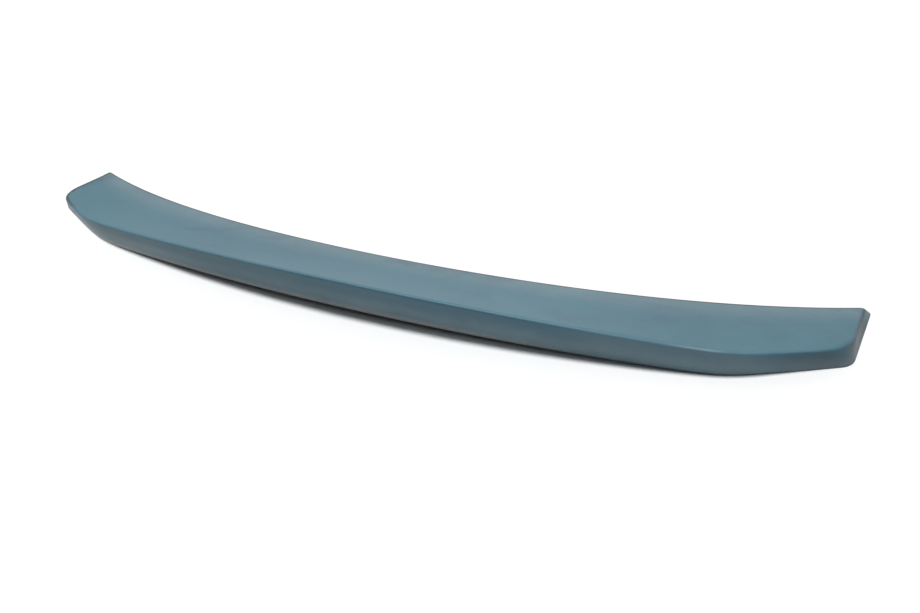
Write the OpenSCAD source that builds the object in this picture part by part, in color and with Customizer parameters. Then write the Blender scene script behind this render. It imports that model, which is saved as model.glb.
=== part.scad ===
// Bonded boot-lid spoiler: one moulded shell, open underneath.
// X runs across the car, +Y points forward to the leading edge, Z is up.
// The plan is a bow with a shoulder near each end, the top is a ducktail that
// climbs from a thin leading lip to a soft tail edge, and the rear face tucks
// in under the tail at the middle and kicks out towards the ends.

/* [Plan] */
// Half width of the leading edge
lead_half = 560; // [500:5:620]
// Forward sweep of the leading edge from the middle to the tips
lead_bow = 80; // [50:1:95]
// Extra forward sweep that only shows near the tips
lead_tip = 22; // [0:0.5:35]
// Depth at the middle, from leading edge to tail edge
chord = 131.5; // [115:0.5:160]
// Half width of the tail edge, up to the sharp corner
tail_half = 531; // [500:1:552]
// Forward sweep of the tail edge from the middle to the tips
tail_bow = 88.5; // [60:0.5:100]
// Half distance between the two shoulders of the tail edge
shoulder_half = 415; // [380:1:470]
// Extra forward slope of the tail edge outside the shoulders
shoulder_slope = 0.31; // [0:0.01:0.4]
// Softness of the shoulders
shoulder_blend = 12.5; // [6:0.5:24]
// Length of the rounding at each tail corner
tail_corner = 38; // [15:1:45]

/* [Ducktail] */
// Height of the leading edge at the middle
lead_height = 17; // [12:0.5:22]
// Height of the tail edge at the middle
tail_height = 66.5; // [52:0.5:80]
// Height of the tail edge at the tips
tip_height = 24; // [22:0.5:34]
// How late the tail edge drops towards the tips, as a share
late_drop = -0.2; // [-0.5:0.05:0.3]
// Hollow of the top at the middle, as a share of its climb. It fades towards
// the ends, where the top runs straight from edge to edge.
duck_hollow = 0.3; // [0:0.05:0.5]
// Length of the rounding on each side of the tail edge
nose = 7; // [3:0.5:9]
// Length of the rounding where the end edges start, at the leading tips
tip_nose = 2; // [1:0.25:4]

/* [Rear face and ends] */
// How far the rear face tucks in under the tail at the middle
undercut = 28; // [5:0.5:32]
// How far the foot of the rear face kicks out at the tips
kick = 1; // [0:0.5:5]
// Outward flare of the end faces at the leading tip
tip_flare = 9.5; // [4:0.5:12]
// Outward flare of the end faces at the tail corner
corner_flare = 9.5; // [4:0.5:12]
// Length of the rounding at each foot corner
foot_corner = 12; // [8:1:24]
// How far the foot of each leading tip is drawn back
tip_pull = 3; // [0:0.5:6]

/* [Lid seat] */
// Thickness of the lip along the leading edge
lip = 3.25; // [2:0.25:4]
// Rise of the rear foot at the middle, over the crown of the lid
seat_rise = 5.5; // [0:0.5:12]
// Half width over which the rear foot is raised
seat_reach = 440; // [380:5:480]

/* [Moulding] */
// Wall of the moulding
wall = 3; // [2:0.25:4]
// Width of the bonding land behind the leading edge
lead_land = 18; // [14:1:30]
// Width of the bonding land at each end
end_land = 10; // [7:0.5:16]
// Length of the rounding on the leading lip
lip_nose = 1.2; // [0.5:0.1:1.8]

/* [Hidden] */

// Mesh counts: columns from the middle to the end, rows from leading edge to
// tail, how many of both turn the tail corner, and steps round each edge
COLS = 50;
ROWS = 13;
CORNER = 4;
NOSE_STEPS = 5;

// Slopes of top and rear face at the middle, and what the rounding of the
// tail edge takes off the depth there
tail_slope = (tail_height - lead_height) / chord * (1 + duck_hollow);
face_drop = tail_height - seat_rise;
face_back = nose * undercut / norm([undercut, face_drop]);
nose_loss = nose * face_back / (nose + face_back);
// Middle of the depth, where the origin stands
mid_y = (lead_bow + lead_tip - chord + nose_loss) / 2;
// Insets of the inner roof, so that the wall keeps its thickness in the nose
roof_drop = wall * norm([1, tail_slope]);
face_inset = wall * norm([undercut, face_drop]) / face_drop;
tuck_inset = face_inset + (roof_drop + face_inset * tail_slope) * undercut / face_drop;

// Share of the way out from the middle to the tips, squared
function tipward(x) = pow(x / lead_half, 2);
// Softened step: 0 before the shoulder, a straight rise after it
function ramp(d) = shoulder_blend * ln(1 + exp(d / shoulder_blend));
function lead_y(x) = let (q = tipward(x)) lead_bow * q + lead_tip * q * q;
function tail_y(x) = tail_bow * tipward(x) - chord
    + shoulder_slope * ramp(abs(x) - shoulder_half);

// Heights of the two long edges, and of the top between them
function lead_z(x) = lead_height + (lip - lead_height) * tipward(x);
function tail_z(x) = let (q = tipward(x))
    tail_height + (tip_height - tail_height) * (q + late_drop * (q * q - q));
function depth_share(p) =
    min(1, max(0, (lead_y(p.x) - p.y) / (lead_y(p.x) - tail_y(p.x))));
function duck(f, x) = f - duck_hollow * (1 - tipward(x)) * f * (1 - f);
function top_z(p) = lead_z(p.x)
    + (tail_z(p.x) - lead_z(p.x)) * duck(depth_share(p), p.x);

// Height of the lid under the shell: crowned across the car, level at the tips
function seat_z(p) = let (
        f = depth_share(p),
        crown = seat_rise * pow(max(0, 1 - pow(p.x / seat_reach, 2)), 1.5))
    max(0, (lead_z(p.x) - lip) * pow(1 - f, 2) + crown * (1 - pow(1 - f, 2)));

// An outline holds what one level of the shell differs by: front half width,
// tail half width, tail inset at the middle and at the tips, corner length,
// leading inset and the draw-back of the leading tips
function outline(front, tail, in_mid, in_tip, corner, lead_in, pull) =
    [front, tail, in_mid, in_tip, corner, lead_in, pull];
function lead_point(o, s) =
    [o[0] * s, lead_y(lead_half * s) - o[5] - o[6] * pow(abs(s), 8)];
function tail_point(o, x) = let (q = tipward(x))
    [x, tail_y(x) + o[2] * (1 - q) + o[3] * q];
function toward(a, b, d) = a + (b - a) * d / norm(b - a);
function curve(a, b, c, t) = a * (1 - t) * (1 - t) + b * 2 * t * (1 - t) + c * t * t;
function corner_point(o, t) = let (tip = tail_point(o, o[1])) curve(
    tail_point(o, o[1] - o[4]), tip, toward(tip, lead_point(o, 1), o[4]), t);

// Boundary of an outline, by column along the tail and by row along the end.
// Both stop at the middle of the tail corner.
function tail_edge(o, i) = let (n = COLS - CORNER) i <= n
    ? tail_point(o, (o[1] - o[4]) * i / n)
    : corner_point(o, (i - n) / (2 * CORNER));
function end_edge(o, j) = let (n = ROWS - CORNER) j <= n
    ? lead_point(o, 1) + (corner_point(o, 1) - lead_point(o, 1)) * j / n
    : corner_point(o, 1 - (j - n) / (2 * CORNER));

// Plan point in column i and row j: rows run straight from edge to edge at the
// middle, and bend to the end edge as they near it
function plan(o, i, j) = let (
        tip = lead_point(o, 1),
        heel = tail_edge(o, COLS),
        v = norm(end_edge(o, j) - tip) / norm(heel - tip),
        tail = tail_edge(o, abs(i)),
        s = tail.x / heel.x,
        lead = lead_point(o, s),
        bend = end_edge(o, j) - tip - (heel - tip) * v,
        p = lead + (tail - lead) * v + bend * pow(s, 3))
    [sign(i) * p.x, p.y];

// Cells round the edge of the grid, once round from the left leading tip
EDGE = concat(
    [for (i = [-COLS:COLS]) [i, 0]],
    [for (j = [1:ROWS]) [COLS, j]],
    [for (i = [COLS - 1:-1:-COLS]) [i, ROWS]],
    [for (j = [ROWS - 1:-1:1]) [-COLS, j]]);
WIDE = 2 * COLS + 1;
function cell(c) = c.y * WIDE + c.x + COLS;

// Levels of the shell, from the top down the outside and up the inside
top_line = outline(lead_half, tail_half, 0, 0, tail_corner, 0, 0);
brow_line = outline(lead_half - tip_nose, tail_half - nose, nose, nose, tail_corner,
    lip_nose, 0);
foot_line = outline(lead_half + tip_flare, tail_half + corner_flare, undercut, -kick,
    foot_corner, 0, tip_pull);
land_line = outline(lead_half + tip_flare - end_land, tail_half + corner_flare - end_land,
    undercut + face_inset, wall - kick, foot_corner, lead_land, 0);
roof_line = outline(lead_half - end_land, tail_half - wall, tuck_inset, wall,
    tail_corner, lead_land + wall, 0);

function on_top(p, drop = 0) = [p.x, p.y, top_z(p) - drop];
function on_seat(p) = [p.x, p.y, seat_z(p)];
function grid(o, drop) =
    [for (j = [0:ROWS]) for (i = [-COLS:COLS]) on_top(plan(o, i, j), drop)];

// Rounded edge between top and side, one ring of points for each step. It is as
// long down the side as across the top, or just under half of a low side.
function edge_at(c, t) = let (
        brow = on_top(plan(brow_line, c.x, c.y)),
        sharp = on_top(plan(top_line, c.x, c.y)),
        foot = on_seat(plan(foot_line, c.x, c.y)))
    curve(brow, sharp, toward(sharp, foot, min(norm(sharp - brow), 0.45 * norm(foot - sharp))), t);
function edge_ring(t) = [for (c = EDGE) edge_at(c, t)];
function seat_ring(o) = [for (c = EDGE) on_seat(plan(o, c.x, c.y))];

// Faces: a band joins two rings of point numbers, a sheet closes a grid
function band(a, b) = [for (k = [0:len(a) - 1]) let (n = (k + 1) % len(a))
    each [[a[k], a[n], b[n]], [a[k], b[n], b[k]]]];
function sheet(first, flip) = [for (j = [0:ROWS - 1]) for (i = [-COLS:COLS - 1]) let (
        a = first + cell([i, j]), b = first + cell([i + 1, j]),
        c = first + cell([i + 1, j + 1]), d = first + cell([i, j + 1]))
    each flip ? [[a, b, c], [a, c, d]] : [[a, c, b], [a, d, c]]];

module spoiler_shell() {
    roof = grid(brow_line, 0);
    rings = concat(
        [for (k = [1:NOSE_STEPS]) edge_ring(k / NOSE_STEPS)],
        [seat_ring(foot_line), seat_ring(land_line)]);
    inner = grid(roof_line, roof_drop);
    count = len(EDGE);
    below = len(roof) + len(rings) * count;
    loops = concat(
        [[for (c = EDGE) cell(c)]],
        [for (r = [0:len(rings) - 1]) [for (k = [0:count - 1]) len(roof) + r * count + k]],
        [[for (c = EDGE) below + cell(c)]]);
    color([0.40, 0.51, 0.55])
        translate([0, -mid_y, 0])
            polyhedron(
                points = concat(roof, [for (r = rings) each r], inner),
                faces = concat(
                    sheet(0, false),
                    [for (r = [0:len(loops) - 2]) each band(loops[r], loops[r + 1])],
                    sheet(below, true)),
                convexity = 6);
}

spoiler_shell();
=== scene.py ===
"""Looks of the boot-lid ducktail spoiler: the smooth moulded shell, its satin
primer outside and bare underside, on a pale studio floor.

The shell is one Geometry Nodes tree. It follows the same rule as the solid
model: a bowed plan with shoulders, a ducktail top, a rear face that tucks in
under the tail, a thin leading lip and a bonding land round the open underside.
Left and right are the car's, with +X to the right.
"""

from functools import cached_property
from math import cos, e, radians, sin

import bpy
from mathutils import Matrix, Vector


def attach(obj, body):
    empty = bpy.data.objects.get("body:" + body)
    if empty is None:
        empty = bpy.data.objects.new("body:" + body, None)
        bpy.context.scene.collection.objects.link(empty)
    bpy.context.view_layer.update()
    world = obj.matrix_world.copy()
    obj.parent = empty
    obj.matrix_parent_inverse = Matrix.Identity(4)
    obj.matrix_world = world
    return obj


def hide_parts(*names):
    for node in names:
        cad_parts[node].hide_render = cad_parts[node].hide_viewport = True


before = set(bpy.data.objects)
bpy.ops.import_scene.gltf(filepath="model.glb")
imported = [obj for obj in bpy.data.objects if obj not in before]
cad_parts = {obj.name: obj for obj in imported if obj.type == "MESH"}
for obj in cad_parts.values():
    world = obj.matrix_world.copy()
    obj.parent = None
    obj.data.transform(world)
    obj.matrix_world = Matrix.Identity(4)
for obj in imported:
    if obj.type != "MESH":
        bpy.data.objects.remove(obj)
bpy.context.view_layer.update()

MM = 0.001

# Driving sizes of the shell in millimetres, as the solid model names them. The
# last four are small roundings that only this mesh has. As its leading tips are
# rounded, their foot is drawn back less than the solid's.
SIZES = {
    "lead_half": 560.0,
    "lead_bow": 80.0,
    "lead_tip": 22.0,
    "chord": 131.5,
    "tail_half": 531.0,
    "tail_bow": 88.5,
    "shoulder_half": 415.0,
    "shoulder_slope": 0.31,
    "shoulder_blend": 12.5,
    "tail_corner": 38.0,
    "lead_height": 17.0,
    "tail_height": 66.5,
    "tip_height": 24.0,
    "late_drop": -0.2,
    "duck_hollow": 0.3,
    "nose": 7.0,
    "tip_nose": 2.0,
    "undercut": 28.0,
    "kick": 1.0,
    "tip_flare": 9.5,
    "corner_flare": 9.5,
    "foot_corner": 12.0,
    "tip_pull": 1.5,
    "lip": 3.25,
    "seat_rise": 5.5,
    "seat_reach": 440.0,
    "wall": 3.0,
    "lead_land": 18.0,
    "end_land": 10.0,
    "lip_nose": 1.2,
    "top_corner": 1.5,
    "foot_tip": 7.0,
    "rim_edge": 0.6,
    "roof_edge": 2.5,
}

# Powers in the rule: how late on the way out the leading tips are drawn back, how
# late the rows bend to the end edge, and how the crown of the seat fades out
PULL_POWER = 8.0
BEND_POWER = 3.0
CROWN_POWER = 1.5

# Most that a rounding takes of a low side, as a share: the one at the top of the
# outer face or of the inner wall, and the one at the inner wall's foot
EDGE_SHARE = 0.45
LAND_SHARE = 0.3

# Share of the way out at which the leading edge's direction is taken for the
# rounding of its tip
NEAR_TIP = 0.98

# Points closer than this are welded, in millimetres
WELD = 0.005

# Mesh counts: columns from the middle to the end, rows from leading edge to
# tail, and how many of both turn the tail corner
COLS = 150
ROWS = 34
CORNER = 10

# Rows over which the mark of the top's end rims fades at the tail
RIM_FADE = 3.0

# Levels down the outside and up the inside, as steps of the side band
NOSE_STEPS = 8
FACE_STEPS = 6
RIM_STEPS = 3
LAND_STEPS = 2
INNER_STEPS = 3
ROOF_STEPS = 4
FOOT_STEP = NOSE_STEPS + FACE_STEPS
PRIMED_STEPS = FOOT_STEP + RIM_STEPS / 2
SIDE_STEPS = FOOT_STEP + 2 * RIM_STEPS + LAND_STEPS + INNER_STEPS + ROOF_STEPS


class Value:
    """A socket of a node tree. Arithmetic on it adds Math nodes."""

    def __init__(self, tree, socket):
        self.tree = tree
        self.socket = socket

    def math(self, operation, *others):
        settings = {"operation": operation}
        return add(self.tree, "ShaderNodeMath", settings, [self, *others])

    def from_left(self, operation, other):
        settings = {"operation": operation}
        return add(self.tree, "ShaderNodeMath", settings, [other, self])

    def __add__(self, other):
        return self.math("ADD", other)

    def __sub__(self, other):
        return self.math("SUBTRACT", other)

    def __mul__(self, other):
        return self.math("MULTIPLY", other)

    def __truediv__(self, other):
        return self.math("DIVIDE", other)

    def __pow__(self, other):
        return self.math("POWER", other)

    def __rsub__(self, other):
        return self.from_left("SUBTRACT", other)

    def __rtruediv__(self, other):
        return self.from_left("DIVIDE", other)

    __radd__ = __add__
    __rmul__ = __mul__


class Place(Value):
    """A vector socket: a point of the plan or in space. Arithmetic on it adds
    Vector Math nodes."""

    def vector(self, operation, inputs, output=0):
        settings = {"operation": operation}
        made = add(self.tree, "ShaderNodeVectorMath", settings, {0: self, **inputs}, output)
        return made if output else Place(made.tree, made.socket)

    def __add__(self, other):
        return self.vector("ADD", {1: other})

    def __sub__(self, other):
        return self.vector("SUBTRACT", {1: other})

    def __mul__(self, factor):
        return self.vector("SCALE", {"Scale": factor})

    def length(self):
        return self.vector("LENGTH", {}, "Value")

    def parts(self):
        split = add(self.tree, "ShaderNodeSeparateXYZ", inputs=[self])
        return [Value(self.tree, socket) for socket in split.socket.node.outputs]


def add(tree, kind, settings=None, inputs=None, output=0):
    """Adds a node: its settings first, then values or links for its sockets.

    inputs is a list in socket order or a dict by socket name or number."""
    node = tree.nodes.new(kind)
    for name, value in (settings or {}).items():
        setattr(node, name, value)
    items = inputs.items() if isinstance(inputs, dict) else enumerate(inputs or [])
    for key, value in items:
        if isinstance(value, Value):
            wire(value, node, key)
        else:
            node.inputs[key].default_value = value
    return Value(tree, node.outputs[output])


def wire(value, node, key):
    """Links a value to a node's socket, by its name or number."""
    value.tree.links.new(value.socket, node.inputs[key])


def place(tree, x, y, z=0.0):
    """A point from its coordinates."""
    made = add(tree, "ShaderNodeCombineXYZ", inputs=[x, y, z])
    return Place(tree, made.socket)


def at_least(a, b):
    return a.math("MAXIMUM", b)


def at_most(a, b):
    return a.math("MINIMUM", b)


def clamp(a, low, high):
    return at_most(at_least(a, low), high)


# The node groups of the shell's rules, each with the inputs that it uses
GROUPS = {}


def shared(rule):
    """Makes a rule of the shell a node group of its own. It is built at its first
    use and from then on only placed, with its sizes and arguments linked in."""

    def placed(shell, *arguments):
        if rule.__name__ not in GROUPS:
            GROUPS[rule.__name__] = rule_group(rule, list(shell.size), len(arguments))
        group, needed = GROUPS[rule.__name__]
        given = [*shell.size.values(), *arguments]
        inputs = {number: given[number] for number in needed}
        node = add(shell.tree, "GeometryNodeGroup", {"node_tree": group}, inputs).socket.node
        return [Value(shell.tree, socket) for socket in node.outputs]

    return placed


def rule_group(rule, names, arguments):
    """The node group of a rule, and the numbers of the inputs that it uses."""
    tree = bpy.data.node_groups.new(rule.__name__, "GeometryNodeTree")
    for name in [*names, *[f"argument_{number}" for number in range(arguments)]]:
        number_socket(tree, name, "INPUT")
    entry = tree.nodes.new("NodeGroupInput")
    values = [Value(tree, socket) for socket in entry.outputs[:len(names) + arguments]]
    shell = Shell(tree, dict(zip(names, values)))
    results = rule(shell, *values[len(names):])
    for number in range(len(results)):
        number_socket(tree, f"result_{number}", "OUTPUT")
    add_exit(tree, results)
    needed = [number for number, value in enumerate(values) if value.socket.is_linked]
    return tree, needed


def number_socket(tree, name, in_out):
    """A new input or output of a tree, for a number."""
    return tree.interface.new_socket(name, in_out=in_out, socket_type="NodeSocketFloat")


def add_exit(tree, results):
    """Links the results to the tree's output."""
    leave = tree.nodes.new("NodeGroupOutput")
    for number, result in enumerate(results):
        wire(result, leave, number)


class Shell:
    """The spoiler's rule, in millimetres, on the sockets of one tree."""

    def __init__(self, tree, sizes):
        self.tree = tree
        self.size = sizes

    def __getattr__(self, name):
        return self.size[name]

    def tipward(self, x):
        """Share of the way out from the middle to the tips, squared."""
        return (x / self.lead_half) ** 2.0

    @shared
    def long_edges(self, x):
        """How far forward the leading edge and the tail edge are, in plan."""
        q = self.tipward(x)
        past = (x.math("ABSOLUTE") - self.shoulder_half) / self.shoulder_blend
        ramp = (past.math("EXPONENT") + 1.0).math("LOGARITHM", e)
        shoulder = self.shoulder_slope * self.shoulder_blend * ramp
        lead = self.lead_bow * q + self.lead_tip * q * q
        return lead, self.tail_bow * q - self.chord + shoulder

    def lead_z(self, x):
        """Height of the top at the leading edge."""
        return self.lead_height + (self.lip - self.lead_height) * self.tipward(x)

    def tail_z(self, x):
        """Height of the top at the tail edge."""
        q = self.tipward(x)
        drop = q + self.late_drop * (q * q - q)
        return self.tail_height + (self.tip_height - self.tail_height) * drop

    @shared
    def depth_share(self, x, y):
        """0 at the leading edge, 1 at the tail edge."""
        lead, tail = self.long_edges(x)
        return [clamp((lead - y) / (lead - tail), 0.0, 1.0)]

    @shared
    def top_z(self, x, y):
        """Height of the top: a climb from lead to tail, hollow at the middle."""
        depth, = self.depth_share(x, y)
        hollow = self.duck_hollow * (1.0 - self.tipward(x))
        climb = depth - hollow * depth * (1.0 - depth)
        lead = self.lead_z(x)
        return [lead + (self.tail_z(x) - lead) * climb]

    @shared
    def seat_z(self, x, y):
        """Height of the lid under the shell, crowned across the car."""
        depth, = self.depth_share(x, y)
        ahead = (1.0 - depth) ** 2.0
        crown = at_least(1.0 - (x / self.seat_reach) ** 2.0, 0.0) ** CROWN_POWER
        raised = (self.lead_z(x) - self.lip) * ahead + self.seat_rise * crown * (1.0 - ahead)
        return [at_least(raised, 0.0)]

    @shared
    def plan(self, column, row, front, tail, corner, in_mid, in_tip, lead_in, pull, turn):
        """Plan point of an outline at a column and row. Rows run straight across
        at the middle and bend to the end edge as they near it."""
        line = Outline(self, front, tail, corner, (in_mid, in_tip), lead_in, (pull, turn))
        end = line.end_edge(row)
        back = line.tail_edge(column.math("ABSOLUTE"))
        depth = (end - line.tip).length() / (line.heel - line.tip).length()
        out = back.parts()[0] / line.heel.parts()[0]
        lead = line.lead_point(out)
        bend = end - line.tip - (line.heel - line.tip) * depth
        x, y, _ = (lead + (back - lead) * depth + bend * out**BEND_POWER).parts()
        return column.math("SIGN") * x, y


def toward(a, b, distance):
    """The point at a distance from a on the way to b."""
    way = b - a
    return a + way * (distance / way.length())


def curve(a, b, c, t):
    """A quadratic curve from a to c that leaves and lands along the lines to b."""
    back = 1.0 - t
    return a * (back * back) + b * (2.0 * t * back) + c * (t * t)


class Outline:
    """One level of the shell in plan: half widths at the leading tip and at the
    tail, corner length, tail insets at the middle and the tips, leading inset,
    how far its leading tips are drawn back, and the length of their rounding."""

    def __init__(self, shell, front, tail, corner, insets, lead_in, tips):
        self.shell = shell
        self.front = front
        self.tail = tail
        self.corner = corner
        self.in_mid, self.in_tip = insets
        self.lead_in = lead_in
        self.pull, self.turn = tips
        self.sharp_tip = self.straight_lead(self.constant(1.0))
        self.sharp_corner = self.tail_point(self.tail)
        self.turn_in = self.tail_point(self.tail - self.corner)
        self.turn_out = toward(self.sharp_corner, self.sharp_tip, self.corner)
        self.heel = self.corner_point(self.constant(0.5))
        near_tip = self.straight_lead(self.constant(NEAR_TIP))
        before = toward(self.sharp_tip, near_tip, self.turn)
        after = toward(self.sharp_tip, self.turn_out, self.turn)
        self.cut = before + after - self.sharp_tip * 2.0
        self.tip = self.lead_point(self.constant(1.0))

    def constant(self, number):
        """A plain number as a value of the tree."""
        return add(self.shell.tree, "ShaderNodeMath", {"operation": "ADD"}, [number, 0.0])

    def straight_lead(self, out):
        """The leading edge before its tips are rounded, at a share of the way out."""
        lead, _ = self.shell.long_edges(self.shell.lead_half * out)
        y = lead - self.lead_in - self.pull * out**PULL_POWER
        return place(self.shell.tree, self.front * out, y)

    def rounded_off(self, point, distance):
        """A point at a distance from the sharp leading tip, moved on to the quadratic
        curve that rounds it."""
        t = clamp(0.5 - 0.5 * distance / self.turn, 0.0, 0.5)
        return point + self.cut * (t * t)

    def lead_point(self, out):
        """The leading edge with its tips rounded, at a share of the way out."""
        return self.rounded_off(self.straight_lead(out), self.front * (1.0 - out))

    def tail_point(self, x):
        """The tail edge before its corners are rounded."""
        q = self.shell.tipward(x)
        _, tail = self.shell.long_edges(x)
        return place(self.shell.tree, x, tail + self.in_mid * (1.0 - q) + self.in_tip * q)

    def corner_point(self, t):
        """The rounded tail corner, from the tail edge at 0 to the end edge at 1."""
        return curve(self.turn_in, self.sharp_corner, self.turn_out, t)

    def tail_edge(self, column):
        """The tail edge at a column, up to the middle of its corner."""
        straight = COLS - CORNER
        x = (self.tail - self.corner) * clamp(column / straight, 0.0, 1.0)
        turn = clamp((column - straight) / (2.0 * CORNER), 0.0, 0.5)
        return self.tail_point(x) + self.corner_point(turn) - self.turn_in

    def end_edge(self, row):
        """The end edge at a row, up to the middle of the tail corner."""
        straight = ROWS - CORNER
        along = clamp(row / straight, 0.0, 1.0)
        turn = clamp((row - straight) / (2.0 * CORNER), 0.0, 0.5)
        way = (self.turn_out - self.sharp_tip) * along
        start = self.rounded_off(self.sharp_tip + way, way.length())
        return start + self.corner_point(1.0 - turn) - self.turn_out


class Levels:
    """The shell's levels at one column and row of the grid, in space."""

    def __init__(self, shell, column, row):
        self.shell = shell
        self.column = column
        self.row = row

    def at(self, front, tail, corner, insets, lead_in, tips=None):
        """The plan point of one level's outline."""
        pull, turn = tips or (0.0, self.shell.top_corner)
        return self.shell.plan(
            self.column, self.row, front, tail, corner, *insets, lead_in, pull, turn)

    def on_top(self, x, y, drop=0.0):
        """A plan point at the height of the top, or lower by a drop."""
        height, = self.shell.top_z(x, y)
        return place(self.shell.tree, x, y, height - drop)

    def on_seat(self, x, y):
        """A plan point at the height of the lid."""
        height, = self.shell.seat_z(x, y)
        return place(self.shell.tree, x, y, height)

    def brow(self):
        """Where the top starts to round over."""
        shell = self.shell
        return self.on_top(*self.at(
            shell.lead_half - shell.tip_nose, shell.tail_half - shell.nose, shell.tail_corner,
            (shell.nose, shell.nose), shell.lip_nose))

    def sharp(self):
        """The edge of top and side before it is rounded."""
        shell = self.shell
        return self.on_top(*self.at(
            shell.lead_half, shell.tail_half, shell.tail_corner, (0.0, 0.0), 0.0))

    def foot(self):
        """The outer edge of the rim that rests on the lid."""
        shell = self.shell
        return self.on_seat(*self.at(
            shell.lead_half + shell.tip_flare, shell.tail_half + shell.corner_flare,
            shell.foot_corner, (shell.undercut, 0.0 - shell.kick), 0.0,
            (shell.tip_pull, shell.foot_tip)))

    def land(self):
        """The inner edge of the bonding land."""
        shell = self.shell
        tip = shell.lead_half + shell.tip_flare - shell.end_land
        tail = shell.tail_half + shell.corner_flare - shell.end_land
        insets = (shell.undercut + shell.face_inset, shell.wall - shell.kick)
        return self.on_seat(*self.at(tip, tail, shell.foot_corner, insets, shell.lead_land))

    def roof(self, soft=0.0):
        """The inner roof's outline, or one further in by a softness."""
        shell = self.shell
        tip = shell.lead_half - shell.end_land - soft
        tail = shell.tail_half - shell.wall - soft
        insets = (shell.tuck_inset + soft, shell.wall + soft)
        lead_in = shell.lead_land + shell.wall + soft
        return self.on_top(
            *self.at(tip, tail, shell.tail_corner, insets, lead_in), shell.roof_drop)

    def spans(self):
        """The way from the brow over the edge, down the face, across the rim and up
        the inner wall to the ceiling: the steps and the points of each span."""
        shell = self.shell
        brow, sharp, foot = self.brow(), self.sharp(), self.foot()
        land, roof, ceiling = self.land(), self.roof(), self.roof(shell.roof_edge)
        brink = toward(sharp, foot, at_most(
            (foot - sharp).length() * EDGE_SHARE, (sharp - brow).length()))
        foot_up = toward(foot, sharp, shell.rim_edge)
        foot_in = toward(foot, land, shell.rim_edge)
        land_out = toward(land, foot, shell.rim_edge)
        inner = (roof - land).length()
        land_up = toward(land, roof, at_most(inner * LAND_SHARE, shell.rim_edge))
        roof_down = toward(roof, land, at_most(inner * EDGE_SHARE, shell.roof_edge))
        return [
            (NOSE_STEPS, (brow, sharp, brink)),
            (FACE_STEPS, (brink, foot_up)),
            (RIM_STEPS, (foot_up, foot, foot_in)),
            (LAND_STEPS, (foot_in, land_out)),
            (RIM_STEPS, (land_out, land, land_up)),
            (INNER_STEPS, (land_up, roof_down)),
            (ROOF_STEPS, (roof_down, roof, ceiling)),
        ]

    def side(self, step):
        """The point at a step of the way down the side and up the inside. It starts
        at the first span's first point and moves on by what each span adds."""
        spans = self.spans()
        point = spans[0][1][0]
        passed = 0
        for steps, points in spans:
            t = clamp((step - passed) / steps, 0.0, 1.0)
            point = point + (along_span(points, t) - points[0])
            passed += steps
        return point


def along_span(points, t):
    """A point of a straight span between two points, or of a rounding by three."""
    if len(points) == 2:
        start, stop = points
        return start + (stop - start) * t
    return curve(*points, t)


def add_derived(shell):
    """Sizes that follow from others: what the rounding of the tail edge takes off
    the depth, how far the plan moves to have its middle on the origin, and the
    insets that keep the wall's thickness under the roof."""
    size = shell.size
    climb = (shell.tail_height - shell.lead_height) / shell.chord * (1.0 + shell.duck_hollow)
    face_drop = shell.tail_height - shell.seat_rise
    lean = shell.undercut / face_drop
    stretch = (lean * lean + 1.0).math("SQRT")
    face_back = shell.nose * lean / stretch
    nose_loss = shell.nose * face_back / (shell.nose + face_back)
    size["shift"] = (shell.chord - shell.lead_bow - shell.lead_tip - nose_loss) * 0.5
    size["roof_drop"] = shell.wall * (climb * climb + 1.0).math("SQRT")
    size["face_inset"] = shell.wall * stretch
    size["tuck_inset"] = shell.face_inset + (shell.roof_drop + shell.face_inset * climb) * lean


def grid_mesh(tree, width, height):
    """A flat grid one unit apart, with its own coordinates counted from its left
    and lower sides."""
    mesh = add(tree, "GeometryNodeMeshGrid", inputs={
        "Size X": float(width),
        "Size Y": float(height),
        "Vertices X": width + 1,
        "Vertices Y": height + 1,
    })
    across, up, _ = Place(tree, add(tree, "GeometryNodeInputPosition").socket).parts()
    return mesh, across + width / 2, up + height / 2


def note(mesh, name, value):
    """Keeps a number on every point of the mesh, for the materials."""
    settings = {"data_type": "FLOAT", "domain": "POINT"}
    return add(mesh.tree, "GeometryNodeStoreNamedAttribute", settings, {
        "Geometry": mesh, "Name": name, "Value": value})


def on_end(column, row, fade):
    """1 on the last column at either end, fading out over the last rows."""
    last = clamp(column.math("ABSOLUTE") - (COLS - 1), 0.0, 1.0)
    return last * clamp((ROWS - row) / fade, 0.0, 1.0)


def moved(mesh, shell, point, level, end=0.0):
    """Moves a grid's points to their place on the shell, in metres. Kept with them
    are their level, how far back they are, and 1 on the two end faces and their
    rims."""
    x, y, _ = point.parts()
    depth, = shell.depth_share(x, y)
    noted = note(mesh, "level", level)
    noted = note(noted, "depth", depth)
    noted = note(noted, "end", end)
    where = (point + place(shell.tree, 0.0, shell.shift)) * MM
    return add(shell.tree, "GeometryNodeSetPosition", inputs={
        "Geometry": noted, "Position": where})


def top_sheet(shell):
    """The top, as far as it isn't rounded over, with its faces turned up."""
    mesh, along, row = grid_mesh(shell.tree, 2 * COLS, ROWS)
    column = along - COLS
    brow = Levels(shell, column, row).brow()
    sheet = moved(mesh, shell, brow, 0.0, on_end(column, row, RIM_FADE))
    return add(shell.tree, "GeometryNodeFlipFaces", inputs=[sheet])


def side_band(shell):
    """The band round the shell, from the top's edge down and up the inside. It runs
    from the left tip along the leading edge, back along the right end, along the
    tail edge and forward along the left end."""
    right_tip = 2 * COLS
    right_corner = right_tip + ROWS
    around = 2 * right_corner
    mesh, along, step = grid_mesh(shell.tree, around, SIDE_STEPS)
    across = at_most(along, right_tip + right_corner - along)
    column = clamp(across, 0.0, float(right_tip)) - COLS
    row = clamp(at_most(along - right_tip, around - along), 0.0, float(ROWS))
    point = Levels(shell, column, row).side(step)
    return moved(mesh, shell, point, step, on_end(column, row, CORNER))


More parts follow.
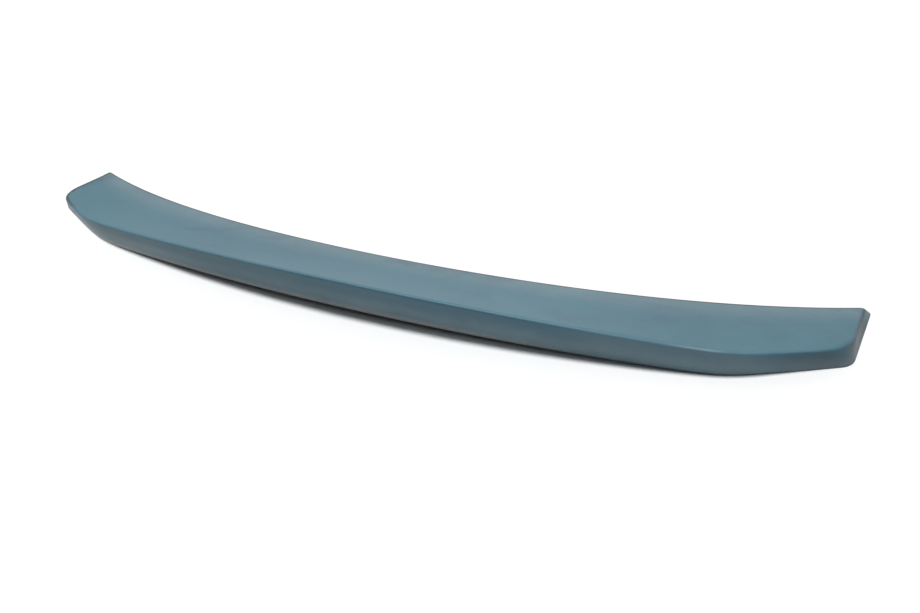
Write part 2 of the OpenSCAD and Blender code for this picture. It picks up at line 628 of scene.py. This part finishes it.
def ceiling_sheet(shell):
    """The inner roof, as far as it isn't rounded into the walls."""
    mesh, along, row = grid_mesh(shell.tree, 2 * COLS, ROWS)
    roof = Levels(shell, along - COLS, row).roof(shell.roof_edge)
    return moved(mesh, shell, roof, float(SIDE_STEPS))


def welded(tree, parts):
    """One smooth skin from the parts, closed where they meet."""
    join = tree.nodes.new("GeometryNodeJoinGeometry")
    for part in parts:
        wire(part, join, "Geometry")
    skin = add(tree, "GeometryNodeMergeByDistance", inputs={
        "Geometry": Value(tree, join.outputs["Geometry"]), "Distance": WELD * MM})
    return add(tree, "GeometryNodeSetShadeSmooth", inputs={
        "Geometry": skin, "Shade Smooth": True})


def finished(tree, skin, primer, underside):
    """The skin as real mesh, primed outside and bare from the rim inwards."""
    skin = add(tree, "GeometryNodeRealizeInstances", inputs=[skin])
    skin = add(tree, "GeometryNodeSetMaterial", inputs={
        "Geometry": skin, "Material": primer})
    settings = {"data_type": "FLOAT"}
    level = add(tree, "GeometryNodeInputNamedAttribute", settings, {"Name": "level"})
    inside = level.math("GREATER_THAN", PRIMED_STEPS)
    return add(tree, "GeometryNodeSetMaterial", inputs={
        "Geometry": skin, "Selection": inside, "Material": underside})


def shell_tree(primer, underside):
    """The Geometry Nodes tree of the shell, and its inputs' identifiers by name: a
    top sheet, a side band and a ceiling sheet, welded into one closed skin."""
    tree = bpy.data.node_groups.new("shell_rule", "GeometryNodeTree")
    tree.interface.new_socket("Shell", in_out="OUTPUT", socket_type="NodeSocketGeometry")
    keys = {}
    for name, value in SIZES.items():
        socket = number_socket(tree, name, "INPUT")
        socket.default_value = value
        keys[name] = socket.identifier
    entry = tree.nodes.new("NodeGroupInput")
    shell = Shell(tree, {name: Value(tree, entry.outputs[name]) for name in SIZES})
    add_derived(shell)
    skin = welded(tree, [top_sheet(shell), side_band(shell), ceiling_sheet(shell)])
    add_exit(tree, [finished(tree, skin, primer, underside)])
    return tree, keys


def in_scene(name, data):
    """A new object in the scene."""
    made = bpy.data.objects.new(name, data)
    bpy.context.collection.objects.link(made)
    return made


def moulded_shell(primer, underside):
    """The visible shell, as a plain mesh made by its tree."""
    tree, keys = shell_tree(primer, underside)
    seed = in_scene("shell_seed", bpy.data.meshes.new("shell_seed"))
    rule = seed.modifiers.new("shell_rule", "NODES")
    rule.node_group = tree
    for name, key in keys.items():
        rule[key] = SIZES[name]
    depsgraph = bpy.context.evaluated_depsgraph_get()
    mesh = bpy.data.meshes.new_from_object(seed.evaluated_get(depsgraph))
    mesh.name = "moulded_shell"
    seed.modifiers.remove(rule)
    bpy.data.objects.remove(seed)
    return in_scene("moulded_shell", mesh)


def new_material(name):
    """A new material, its tree and its Principled shader."""
    made = bpy.data.materials.new(name)
    made.use_nodes = True
    return made, made.node_tree, made.node_tree.nodes["Principled BSDF"]


def shell_material(name, roughness):
    """A new material of the shell, its shader, and the place that its patterns are
    laid out in, which is the shell's own."""
    made, tree, shader = new_material(name)
    shader.inputs["Roughness"].default_value = roughness
    where = add(tree, "ShaderNodeTexCoord", output="Object")
    return made, shader, Place(tree, where.socket)


def kept(tree, name):
    """A number that the shell's tree kept on the mesh."""
    return add(tree, "ShaderNodeAttribute", {"attribute_name": name}, output="Fac")


def rise(value, low, high):
    """Eases from 0 at low to 1 at high."""
    settings = {"interpolation_type": "SMOOTHSTEP"}
    return add(value.tree, "ShaderNodeMapRange", settings, [value, low, high])


def fall(value, low, high):
    """Eases from 1 at low to 0 at high."""
    return 1.0 - rise(value, low, high)


def within(value, start, stop):
    """Eases from 0 to 1 over the start and back to 0 over the stop."""
    return rise(value, *start) * fall(value, *stop)


def cloud(where, scale, detail):
    """Soft noise about 0, from about -0.5 to 0.5, of a scale counted per metre."""
    return add(where.tree, "ShaderNodeTexNoise", inputs={
        "Vector": where, "Scale": scale, "Detail": detail}) - 0.5


def specks(where, scale, size, share):
    """Small round specks: 1 inside them. Only a share of the cells has one."""
    cells = add(where.tree, "ShaderNodeTexVoronoi", inputs={"Vector": where, "Scale": scale})
    lot, _, _ = Place(where.tree, cells.socket.node.outputs["Color"]).parts()
    return fall(cells, size * 0.5, size) * lot.math("LESS_THAN", share)


# Sockets of a Mix node that mixes colours
MIX_SHARE = 0
MIX_FIRST = 6
MIX_SECOND = 7
MIXED_COLOUR = 2


def mixed(tree, kind, share, first, second):
    """Two colours put together in a way of the Mix node, by a share."""
    return add(tree, "ShaderNodeMix", {"data_type": "RGBA", "blend_type": kind}, {
        MIX_SHARE: share, MIX_FIRST: first, MIX_SECOND: second}, MIXED_COLOUR)


def coated(paint, share, tint):
    """A colour that turns to a tint where the share is 1, as far as the tint covers."""
    *colour, cover = tint
    return mixed(share.tree, "MIX", share * cover, paint, (*colour, 1.0))


def shaded(paint, factor):
    """A colour made lighter or darker by a factor."""
    grey = place(paint.tree, factor, factor, factor)
    return mixed(paint.tree, "MULTIPLY", 1.0, paint, grey)


def bump(height, depth):
    """A normal from a height that counts in steps of this many metres."""
    inputs = {"Distance": depth, "Height": height}
    return add(height.tree, "ShaderNodeBump", inputs=inputs, output="Normal")


# Tints of the primer: a linear colour, and how much of the coats under it the tint covers at
# most. Some of them are painted light and shade: the sheen behind the leading edge, the shade
# under the tail edge and its teal band, the light towards the foot and on its edge, the shadow
# at the right foot, and the shade on the lip, on the end rims and at the left corner.
SPRAYED_COAT = (0.123, 0.242, 0.302, 1.0)
# painted sheen: the strip behind the leading edge made lighter
LEAD_SHEEN = (0.210, 0.300, 0.345, 0.9)
LILAC_DUST = (0.150, 0.205, 0.270, 0.45)
# painted shade on the side under the tail edge and on its rounding
UNDER_TAIL_SHADE = (0.042, 0.130, 0.184, 1.0)
# painted shade: a teal band right under the tail edge at the left
TEAL_SHADE = (0.008, 0.108, 0.140, 0.75)
# thinner, greyer coat towards the foot, with painted light from the floor that makes it
# lighter
THIN_COAT_AND_BOUNCE = (0.172, 0.258, 0.300, 1.0)
PALE_SHOULDER = (0.172, 0.258, 0.300, 0.38)
# a paler line along the tail edge's rounding at the right shoulder
PALE_EDGE_LINE = (0.260, 0.330, 0.360, 0.62)
# painted highlight where the foot's edge catches the light
FOOT_HIGHLIGHT = (0.420, 0.450, 0.460, 1.0)
FOOT_SHADE = (0.050, 0.085, 0.105, 0.6)
WORN_END = (0.092, 0.132, 0.150, 1.0)
DUSTY_TIP = (0.215, 0.285, 0.315, 1.0)
# painted shade on the leading lip, in a brownish tint
LIP_SHADE_BROWN = (0.060, 0.056, 0.048, 0.85)
# painted shade on the rounding between the top and the end faces
RIM_SHADE = (0.050, 0.085, 0.105, 1.0)
# painted shade where the tail edge turns the left corner, in place of a highlight
TURN_SHADE = (0.050, 0.085, 0.105, 0.9)

# Stretches across the car where a tone comes or goes, in metres from the middle
LEFT_END = (-0.545, -0.505)
LEFT_RIM = (-0.520, -0.490)
LEFT_TURN = (-0.515, -0.440)
LEFT_CORNER = (-0.52, -0.46)
LEFT_SHOULDER = (-0.50, -0.30)
LEFT_OF_MIDDLE = (-0.28, -0.05)
LEFT_PART = (-0.20, 0.08)
RIGHT_OF_MIDDLE = (0.0, 0.25)
RIGHT_FOOT = (0.10, 0.36)
RIGHT_FACE = (0.12, 0.34)
RIGHT_PART = (0.15, 0.50)
RIGHT_CORNER = (0.43, 0.51)

# Stretches that a tone keeps to: where it comes and where it goes
RIGHT_SHOULDER = ((0.22, 0.31), (0.42, 0.47))
PALE_LINE_STRETCH = ((0.345, 0.388), (0.392, 0.412))

# The same from the leading edge to the tail, as shares of the depth
LIP_DEPTH = (0.010, 0.030)
STRIP_DEPTH = (0.02, 0.46)
TIP_DEPTH = (0.05, 0.40)

# The same down the side, as levels
SIDE_LEVELS = (0.0, NOSE_STEPS * 0.85)
RIM_LEVELS = (NOSE_STEPS * 0.5, NOSE_STEPS * 0.8)
UNDER_RIM_LEVELS = (NOSE_STEPS, NOSE_STEPS + 2.0)
THIN_LEVELS = (NOSE_STEPS + 0.8, FOOT_STEP - 0.4)
FOOT_LEVELS = (FOOT_STEP - 1.6, FOOT_STEP + 0.2)
FOOT_EDGE_LEVELS = (FOOT_STEP - 0.6, FOOT_STEP)
PALE_LINE_LEVELS = ((1.4, 2.8), (4.4, 5.8))
TURN_LEVELS = ((0.3, 2.6), (NOSE_STEPS, NOSE_STEPS + 2.5))
BAND_LEVELS = (
    (NOSE_STEPS - 1.6, NOSE_STEPS + 0.2), (NOSE_STEPS + 0.6, NOSE_STEPS + 3.0))

# How many levels higher or lower the painted shade of the side starts at the ends and along
# the rear face
LEFT_END_HIGHER = 2.0
RIGHT_END_LOWER = 1.5
RIGHT_FACE_LOWER = 1.5
LEFT_PART_LOWER = 0.8

# By how many levels the thin coat and its painted bounce light start lower at the left, and
# the share of them that is missing at the right
LEFT_THIN_LOWER = 0.3
RIGHT_THIN_LESS = 0.25

# The painted shade on the end rims: how many levels higher it starts at the left, how much it
# covers, how much more it covers at the left, and the soft edge that it has on the top
LEFT_RIM_HIGHER = 7.0
RIM_COVER = 0.7
LEFT_RIM_MORE = 0.25
RIM_EDGE = (0.0, 0.55)

# The dust: between which values of its noise it comes, and how much the strip adds
DUST_EDGE = (0.08, 0.30)
STRIP_DUST = 0.12

# Two single marks: where they are, and where they fade out, in metres
SMUDGE_AT = (-0.5379, 0.0765, 0.007)
SMUDGE_FADE = (0.001, 0.006)
FLECK_AT = (0.3570, -0.0615, 0.0410)
FLECK_FADE = (0.0008, 0.0030)

# What moves the noise of the dust and of the dark specks off the others
DUST_SHIFT = (3.1, 1.7, 0.0)
SPECK_SHIFT = (0.7, 0.3, 0.0)

# How rough and how shiny the primer is, and how deep its peel, in metres
PRIMER_ROUGHNESS = 0.44
PRIMER_SPECULAR = 0.28
PEEL_DEPTH = 0.00007


class PrimedSkin:
    """The primed outside, on the sockets of one tree: the noises that cloud it, and
    where its tones lie, as shares from 0 to 1."""

    def __init__(self, where):
        self.where = where
        self.across, _, _ = where.parts()
        self.level = kept(where.tree, "level")
        self.depth = kept(where.tree, "depth")
        self.end = kept(where.tree, "end")
        self.off_end = 1.0 - self.end
        self.broad = cloud(where, scale=7.0, detail=3.0)
        self.mottle = cloud(where, scale=38.0, detail=4.0)
        self.fine = cloud(where, scale=420.0, detail=3.0)
        self.pale_specks = specks(where, scale=210.0, size=0.16, share=0.045)
        self.dark_specks = specks(where + SPECK_SHIFT, scale=170.0, size=0.15, share=0.04)

    def frayed(self, value, **shares):
        """A value moved by shares of the noises, for a tone with uneven edges."""
        for noise, share in shares.items():
            value = value + getattr(self, noise) * share
        return value

    def mark(self, spot, fade, **shares):
        """A single round mark at a spot, frayed by shares of the noises."""
        distance = (self.where - spot).length()
        return fall(self.frayed(distance, **shares), *fade)

    @cached_property
    def left_end(self):
        return fall(self.across, *LEFT_END)

    @cached_property
    def left_part(self):
        return fall(self.across, *LEFT_PART)

    @cached_property
    def right_foot(self):
        return rise(self.across, *RIGHT_FOOT)

    @cached_property
    def right_part(self):
        return rise(self.across, *RIGHT_PART)

    @cached_property
    def strip(self):
        """The strip behind the leading edge, painted lighter as a sheen."""
        return fall(self.frayed(self.depth, broad=0.10, mottle=0.05), *STRIP_DEPTH)

    @cached_property
    def dust(self):
        """Patches of dust, a little thicker on the strip."""
        patches = cloud(self.where + DUST_SHIFT, scale=13.0, detail=4.0)
        return rise(patches + self.strip * STRIP_DUST, *DUST_EDGE)

    @cached_property
    def lip(self):
        """The leading lip, painted dark brownish as shade where it turns away from the light.
        """
        return fall(self.frayed(self.depth, fine=0.006), *LIP_DEPTH)

    @cached_property
    def side(self):
        """The side all round, where the top has turned down: here the shade under the tail
        edge is painted, which also dims the edge's highlight.
        """
        elsewhere = 1.0 - self.left_end
        right_face = rise(self.across, *RIGHT_FACE) * self.off_end
        level = self.level + self.left_end * LEFT_END_HIGHER
        level = level - self.end * elsewhere * RIGHT_END_LOWER
        level = level - right_face * RIGHT_FACE_LOWER
        level = level - self.left_part * elsewhere * LEFT_PART_LOWER
        return rise(level, *SIDE_LEVELS)

    @cached_property
    def rear_face(self):
        return self.side * self.off_end

    @cached_property
    def band(self):
        """A band of painted teal shade on the left part of the rear face, right under the tail
        edge.
        """
        return within(self.level, *BAND_LEVELS) * self.left_part * self.off_end

    # the foot's edge, where a highlight is painted
    @cached_property
    def foot(self):
        return rise(self.level, *FOOT_LEVELS) * self.off_end

    @cached_property
    def thin(self):
        """Where the coat thins out down the side, and where the side is painted lighter
        towards the foot as if lit by the floor.
        """
        level = self.level - self.left_part * LEFT_THIN_LOWER
        thinned = rise(self.frayed(level, mottle=1.2, broad=2.0), *THIN_LEVELS)
        return thinned * (1.0 - self.right_part * RIGHT_THIN_LESS)

    @cached_property
    def rims(self):
        """Both end faces, with the rim that they share with the top."""
        return rise(self.end, *RIM_EDGE)

    @cached_property
    def left_rim(self):
        return fall(self.across, *LEFT_RIM)

    @cached_property
    def rim_shade(self):
        """The painted shade on the rim of both end faces. At the left it takes in the whole
        face.
        """
        start = rise(self.level + self.left_rim * LEFT_RIM_HIGHER, *RIM_LEVELS)
        under = rise(self.level, *UNDER_RIM_LEVELS) * (1.0 - self.left_end)
        cover = RIM_COVER + self.left_end * LEFT_RIM_MORE
        return start * (1.0 - under) * self.rims * cover


def primer_paint(skin):
    """The colour of the primer: its tints, each over the ones before, some of them painted
    light and shade.
    """
    across, level = skin.across, skin.level
    shoulder = within(across, *RIGHT_SHOULDER) * skin.rear_face
    pale_line = within(across, *PALE_LINE_STRETCH) * within(level, *PALE_LINE_LEVELS) * skin.off_end
    foot_edge = rise(level, *FOOT_EDGE_LEVELS) * skin.right_foot
    end_face = skin.side * skin.end
    # painted shade on the rounding at the left tail corner
    left_turn_shade = fall(across, *LEFT_TURN) * within(level, *TURN_LEVELS)
    coats = [
        (skin.strip, LEAD_SHEEN),
        (skin.dust, LILAC_DUST),
        (skin.side, UNDER_TAIL_SHADE),
        (skin.band, TEAL_SHADE),
        (skin.thin, THIN_COAT_AND_BOUNCE),
        (shoulder, PALE_SHOULDER),
        (pale_line, PALE_EDGE_LINE),
        (skin.foot * (1.0 - skin.right_foot), FOOT_HIGHLIGHT),
        (foot_edge, FOOT_SHADE),
        (end_face, WORN_END),
        (end_face * fall(skin.depth, *TIP_DEPTH), DUSTY_TIP),
        (skin.lip * skin.off_end, LIP_SHADE_BROWN),
        (skin.rim_shade, RIM_SHADE),
        (left_turn_shade, TURN_SHADE),
    ]
    paint = SPRAYED_COAT
    for share, tint in coats:
        paint = coated(paint, share, tint)
    return paint


def primer_lightness(skin):
    """How light or dark the primer is, about 1: what changes it, and by how much. Beside the
    noises, specks and two marks, the changes are painted light and shade.
    """
    across = skin.across
    changes = [
        (skin.broad, 0.24),
        (skin.mottle, 0.26),
        (skin.fine, 0.22),
        # painted shade: the right part darker, as if lit from the left
        (skin.right_part, -0.08),
        # painted shade on the side towards the left end
        (fall(across, *LEFT_SHOULDER) * skin.side, -0.18),
        (fall(across, *LEFT_CORNER) * skin.side, -0.14),
        # painted light on the rear face either side of the middle, and painted shade at its
        # right corner
        (rise(across, *LEFT_OF_MIDDLE) * skin.rear_face, 0.10),
        (rise(across, *RIGHT_OF_MIDDLE) * skin.rear_face, 0.12),
        (rise(across, *RIGHT_CORNER) * skin.rear_face, -0.38),
        # painted shade on the rim of the left end
        (skin.left_rim * skin.rims, -0.30),
        # painted light on the foot at the left
        (skin.foot * skin.left_part, 0.20),
        # painted shade in the band under the tail edge
        (skin.band, -0.13),
        (skin.pale_specks, 0.16),
        (skin.dark_specks, -0.22),
        (skin.mark(SMUDGE_AT, SMUDGE_FADE, mottle=0.004), -0.25),
        (skin.mark(FLECK_AT, FLECK_FADE), -0.18),
    ]
    return sum((share * change for share, change in changes), 1.0)


def primer_material():
    """Satin blue-grey primer, sprayed by hand over the moulding."""
    made, shader, where = shell_material("satin_primer", PRIMER_ROUGHNESS)
    shader.inputs["Specular IOR Level"].default_value = PRIMER_SPECULAR
    skin = PrimedSkin(where)
    wire(shaded(primer_paint(skin), primer_lightness(skin)), shader, "Base Color")
    rougher = skin.mottle * 0.10 + skin.fine * 0.08 + skin.dust * 0.10 + skin.lip * 0.2
    wire(rougher + PRIMER_ROUGHNESS, shader, "Roughness")
    peel = cloud(where, scale=520.0, detail=1.0)
    grain = peel * 0.7 + skin.fine * 0.3 + skin.pale_specks * 0.5
    wire(bump(grain, PEEL_DEPTH), shader, "Normal")
    return made


# The underside: its tints as above, the levels over which the overspray thins out,
# how rough it is, and how deep its grain, in metres
BARE_GREY = (0.042, 0.044, 0.046, 1.0)
OVERSPRAY = (0.10, 0.165, 0.20, 0.85)
DRIFT_LEVELS = (PRIMED_STEPS, PRIMED_STEPS + LAND_STEPS + RIM_STEPS)
BARE_ROUGHNESS = 0.62
GRAIN_DEPTH = 0.0002


def underside_material():
    """The bare back of the moulding, with overspray drifting in over the rim."""
    made, shader, where = shell_material("bare_underside", BARE_ROUGHNESS)
    level = kept(where.tree, "level")
    flow = cloud(where, scale=16.0, detail=5.0)
    fine = cloud(where, scale=600.0, detail=2.0)
    pits = specks(where, scale=330.0, size=0.2, share=0.06)
    drift = fall(level + flow * 2.5 + fine * 3.0, *DRIFT_LEVELS)
    paint = coated(BARE_GREY, drift, OVERSPRAY)
    wire(shaded(paint, 1.0 + flow * 0.35 + fine * 0.25 - pits * 0.35), shader, "Base Color")
    wire(BARE_ROUGHNESS + fine * 0.2 - flow * 0.12, shader, "Roughness")
    wire(bump(fine * 0.5 + flow * 0.4 - pits, GRAIN_DEPTH), shader, "Normal")
    return made


def looks(tree):
    """1 for the camera's own look at a surface, and 1 for a reflection's."""
    outputs = add(tree, "ShaderNodeLightPath").socket.node.outputs
    return [Value(tree, outputs[name]) for name in ("Is Camera Ray", "Is Glossy Ray")]


# The floor: half its width in metres, the colour that it lights the shell with, and
# the one that the camera and a reflection see
FLOOR_HALF = 8.0
FLOOR_BOUNCE = (0.5, 0.5, 0.5, 1.0)
FLOOR_SEEN = (1.02, 1.02, 1.02, 1.0)


def studio_floor():
    """A pale floor that the camera sees as white, and that keeps the shadow."""
    mesh = bpy.data.meshes.new("studio_floor")
    turns = [(-1, -1), (1, -1), (1, 1), (-1, 1)]
    corners = [(x * FLOOR_HALF, y * FLOOR_HALF, 0.0) for x, y in turns]
    mesh.from_pydata(corners, [], [(0, 1, 2, 3)])
    floor = in_scene("studio_floor", mesh)
    made, tree, shader = new_material("pale_floor")
    tree.nodes.remove(shader)
    direct, glossy = looks(tree)
    colour = mixed(tree, "MIX", direct + glossy, FLOOR_BOUNCE, FLOOR_SEEN)
    diffuse = add(tree, "ShaderNodeBsdfDiffuse", inputs=[colour])
    wire(diffuse, tree.nodes["Material Output"], "Surface")
    mesh.materials.append(made)


# How bright the white surroundings are as a light, and how much of the rest of
# their white a reflection sees
WORLD_LIGHT = 0.01
WORLD_GLOSS = 0.2


def studio_world():
    """White where the camera looks, dimmer in a reflection and as a light."""
    world = bpy.data.worlds.new("studio_world")
    world.use_nodes = True
    tree = world.node_tree
    bpy.context.scene.world = world
    direct, glossy = looks(tree)
    background = tree.nodes["Background"]
    background.inputs["Color"].default_value = (1.0, 1.0, 1.0, 1.0)
    strength = WORLD_LIGHT + (1.0 - WORLD_LIGHT) * (direct + glossy * WORLD_GLOSS)
    wire(strength, background, "Strength")


def way_to(azimuth, elevation):
    """The way to a camera or lamp. The azimuth is counted in degrees from straight
    behind the shell towards its right."""
    turn, tilt = radians(azimuth), radians(elevation)
    return Vector((sin(turn) * cos(tilt), -cos(turn) * cos(tilt), sin(tilt)))


# The lamps: strength, azimuth, elevation and spread, with all angles in degrees
LAMPS = {
    "key_softbox": (2.72, -30.0, 73.5, 9.0),
    "overhead_softbox": (0.25, 0.0, 86.0, 90.0),
    "left_softbox": (0.36, -100.0, 52.0, 40.0),
    "low_fill": (0.15, 0.0, 3.0, 4.0),
}


def softbox(name, strength, azimuth, elevation, spread):
    """A soft lamp that shines from far away and lights floor and shell evenly."""
    data = bpy.data.lights.new(name, "SUN")
    data.energy = strength
    data.angle = radians(spread)
    lamp = in_scene(name, data)
    lamp.rotation_mode = "QUATERNION"
    lamp.rotation_quaternion = way_to(azimuth, elevation).to_track_quat("Z", "Y")


# The photograph's camera: where it looks and how far off it stands, in metres, its
# azimuth, elevation and turn about its own axis, in degrees, and its focal length
# and the picture's width, in pixels
LOOK_AT = Vector((0.11418, -0.03425, 0.0))
DISTANCE = 0.77891
AZIMUTH = 21.061
ELEVATION = 37.076
ROLL = -1.014
FOCAL_PIXELS = 653.08
PICTURE_PIXELS = 920.0
SENSOR_MM = 36.0
CLIP_START = 0.01


def photo_camera():
    """The viewpoint of the photograph."""
    back = way_to(AZIMUTH, ELEVATION)
    level = Vector((cos(radians(AZIMUTH)), sin(radians(AZIMUTH)), 0.0))
    upright = back.cross(level)
    roll = radians(ROLL)
    right = level * cos(roll) + upright * sin(roll)
    up = upright * cos(roll) - level * sin(roll)
    data = bpy.data.cameras.new("photo_camera")
    data.sensor_width = SENSOR_MM
    data.lens = FOCAL_PIXELS / PICTURE_PIXELS * SENSOR_MM
    data.clip_start = CLIP_START
    camera = in_scene("photo_camera", data)
    axes = Matrix((right, up, back)).transposed().to_4x4()
    camera.matrix_world = Matrix.Translation(LOOK_AT + back * DISTANCE) @ axes
    bpy.context.scene.camera = camera


photo_camera()
shell = moulded_shell(primer_material(), underside_material())
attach(shell, "root")
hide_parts("spoiler_shell")
studio_floor()
studio_world()
for name, light in LAMPS.items():
    softbox(name, *light)
bpy.context.scene.view_settings.view_transform = "Standard"
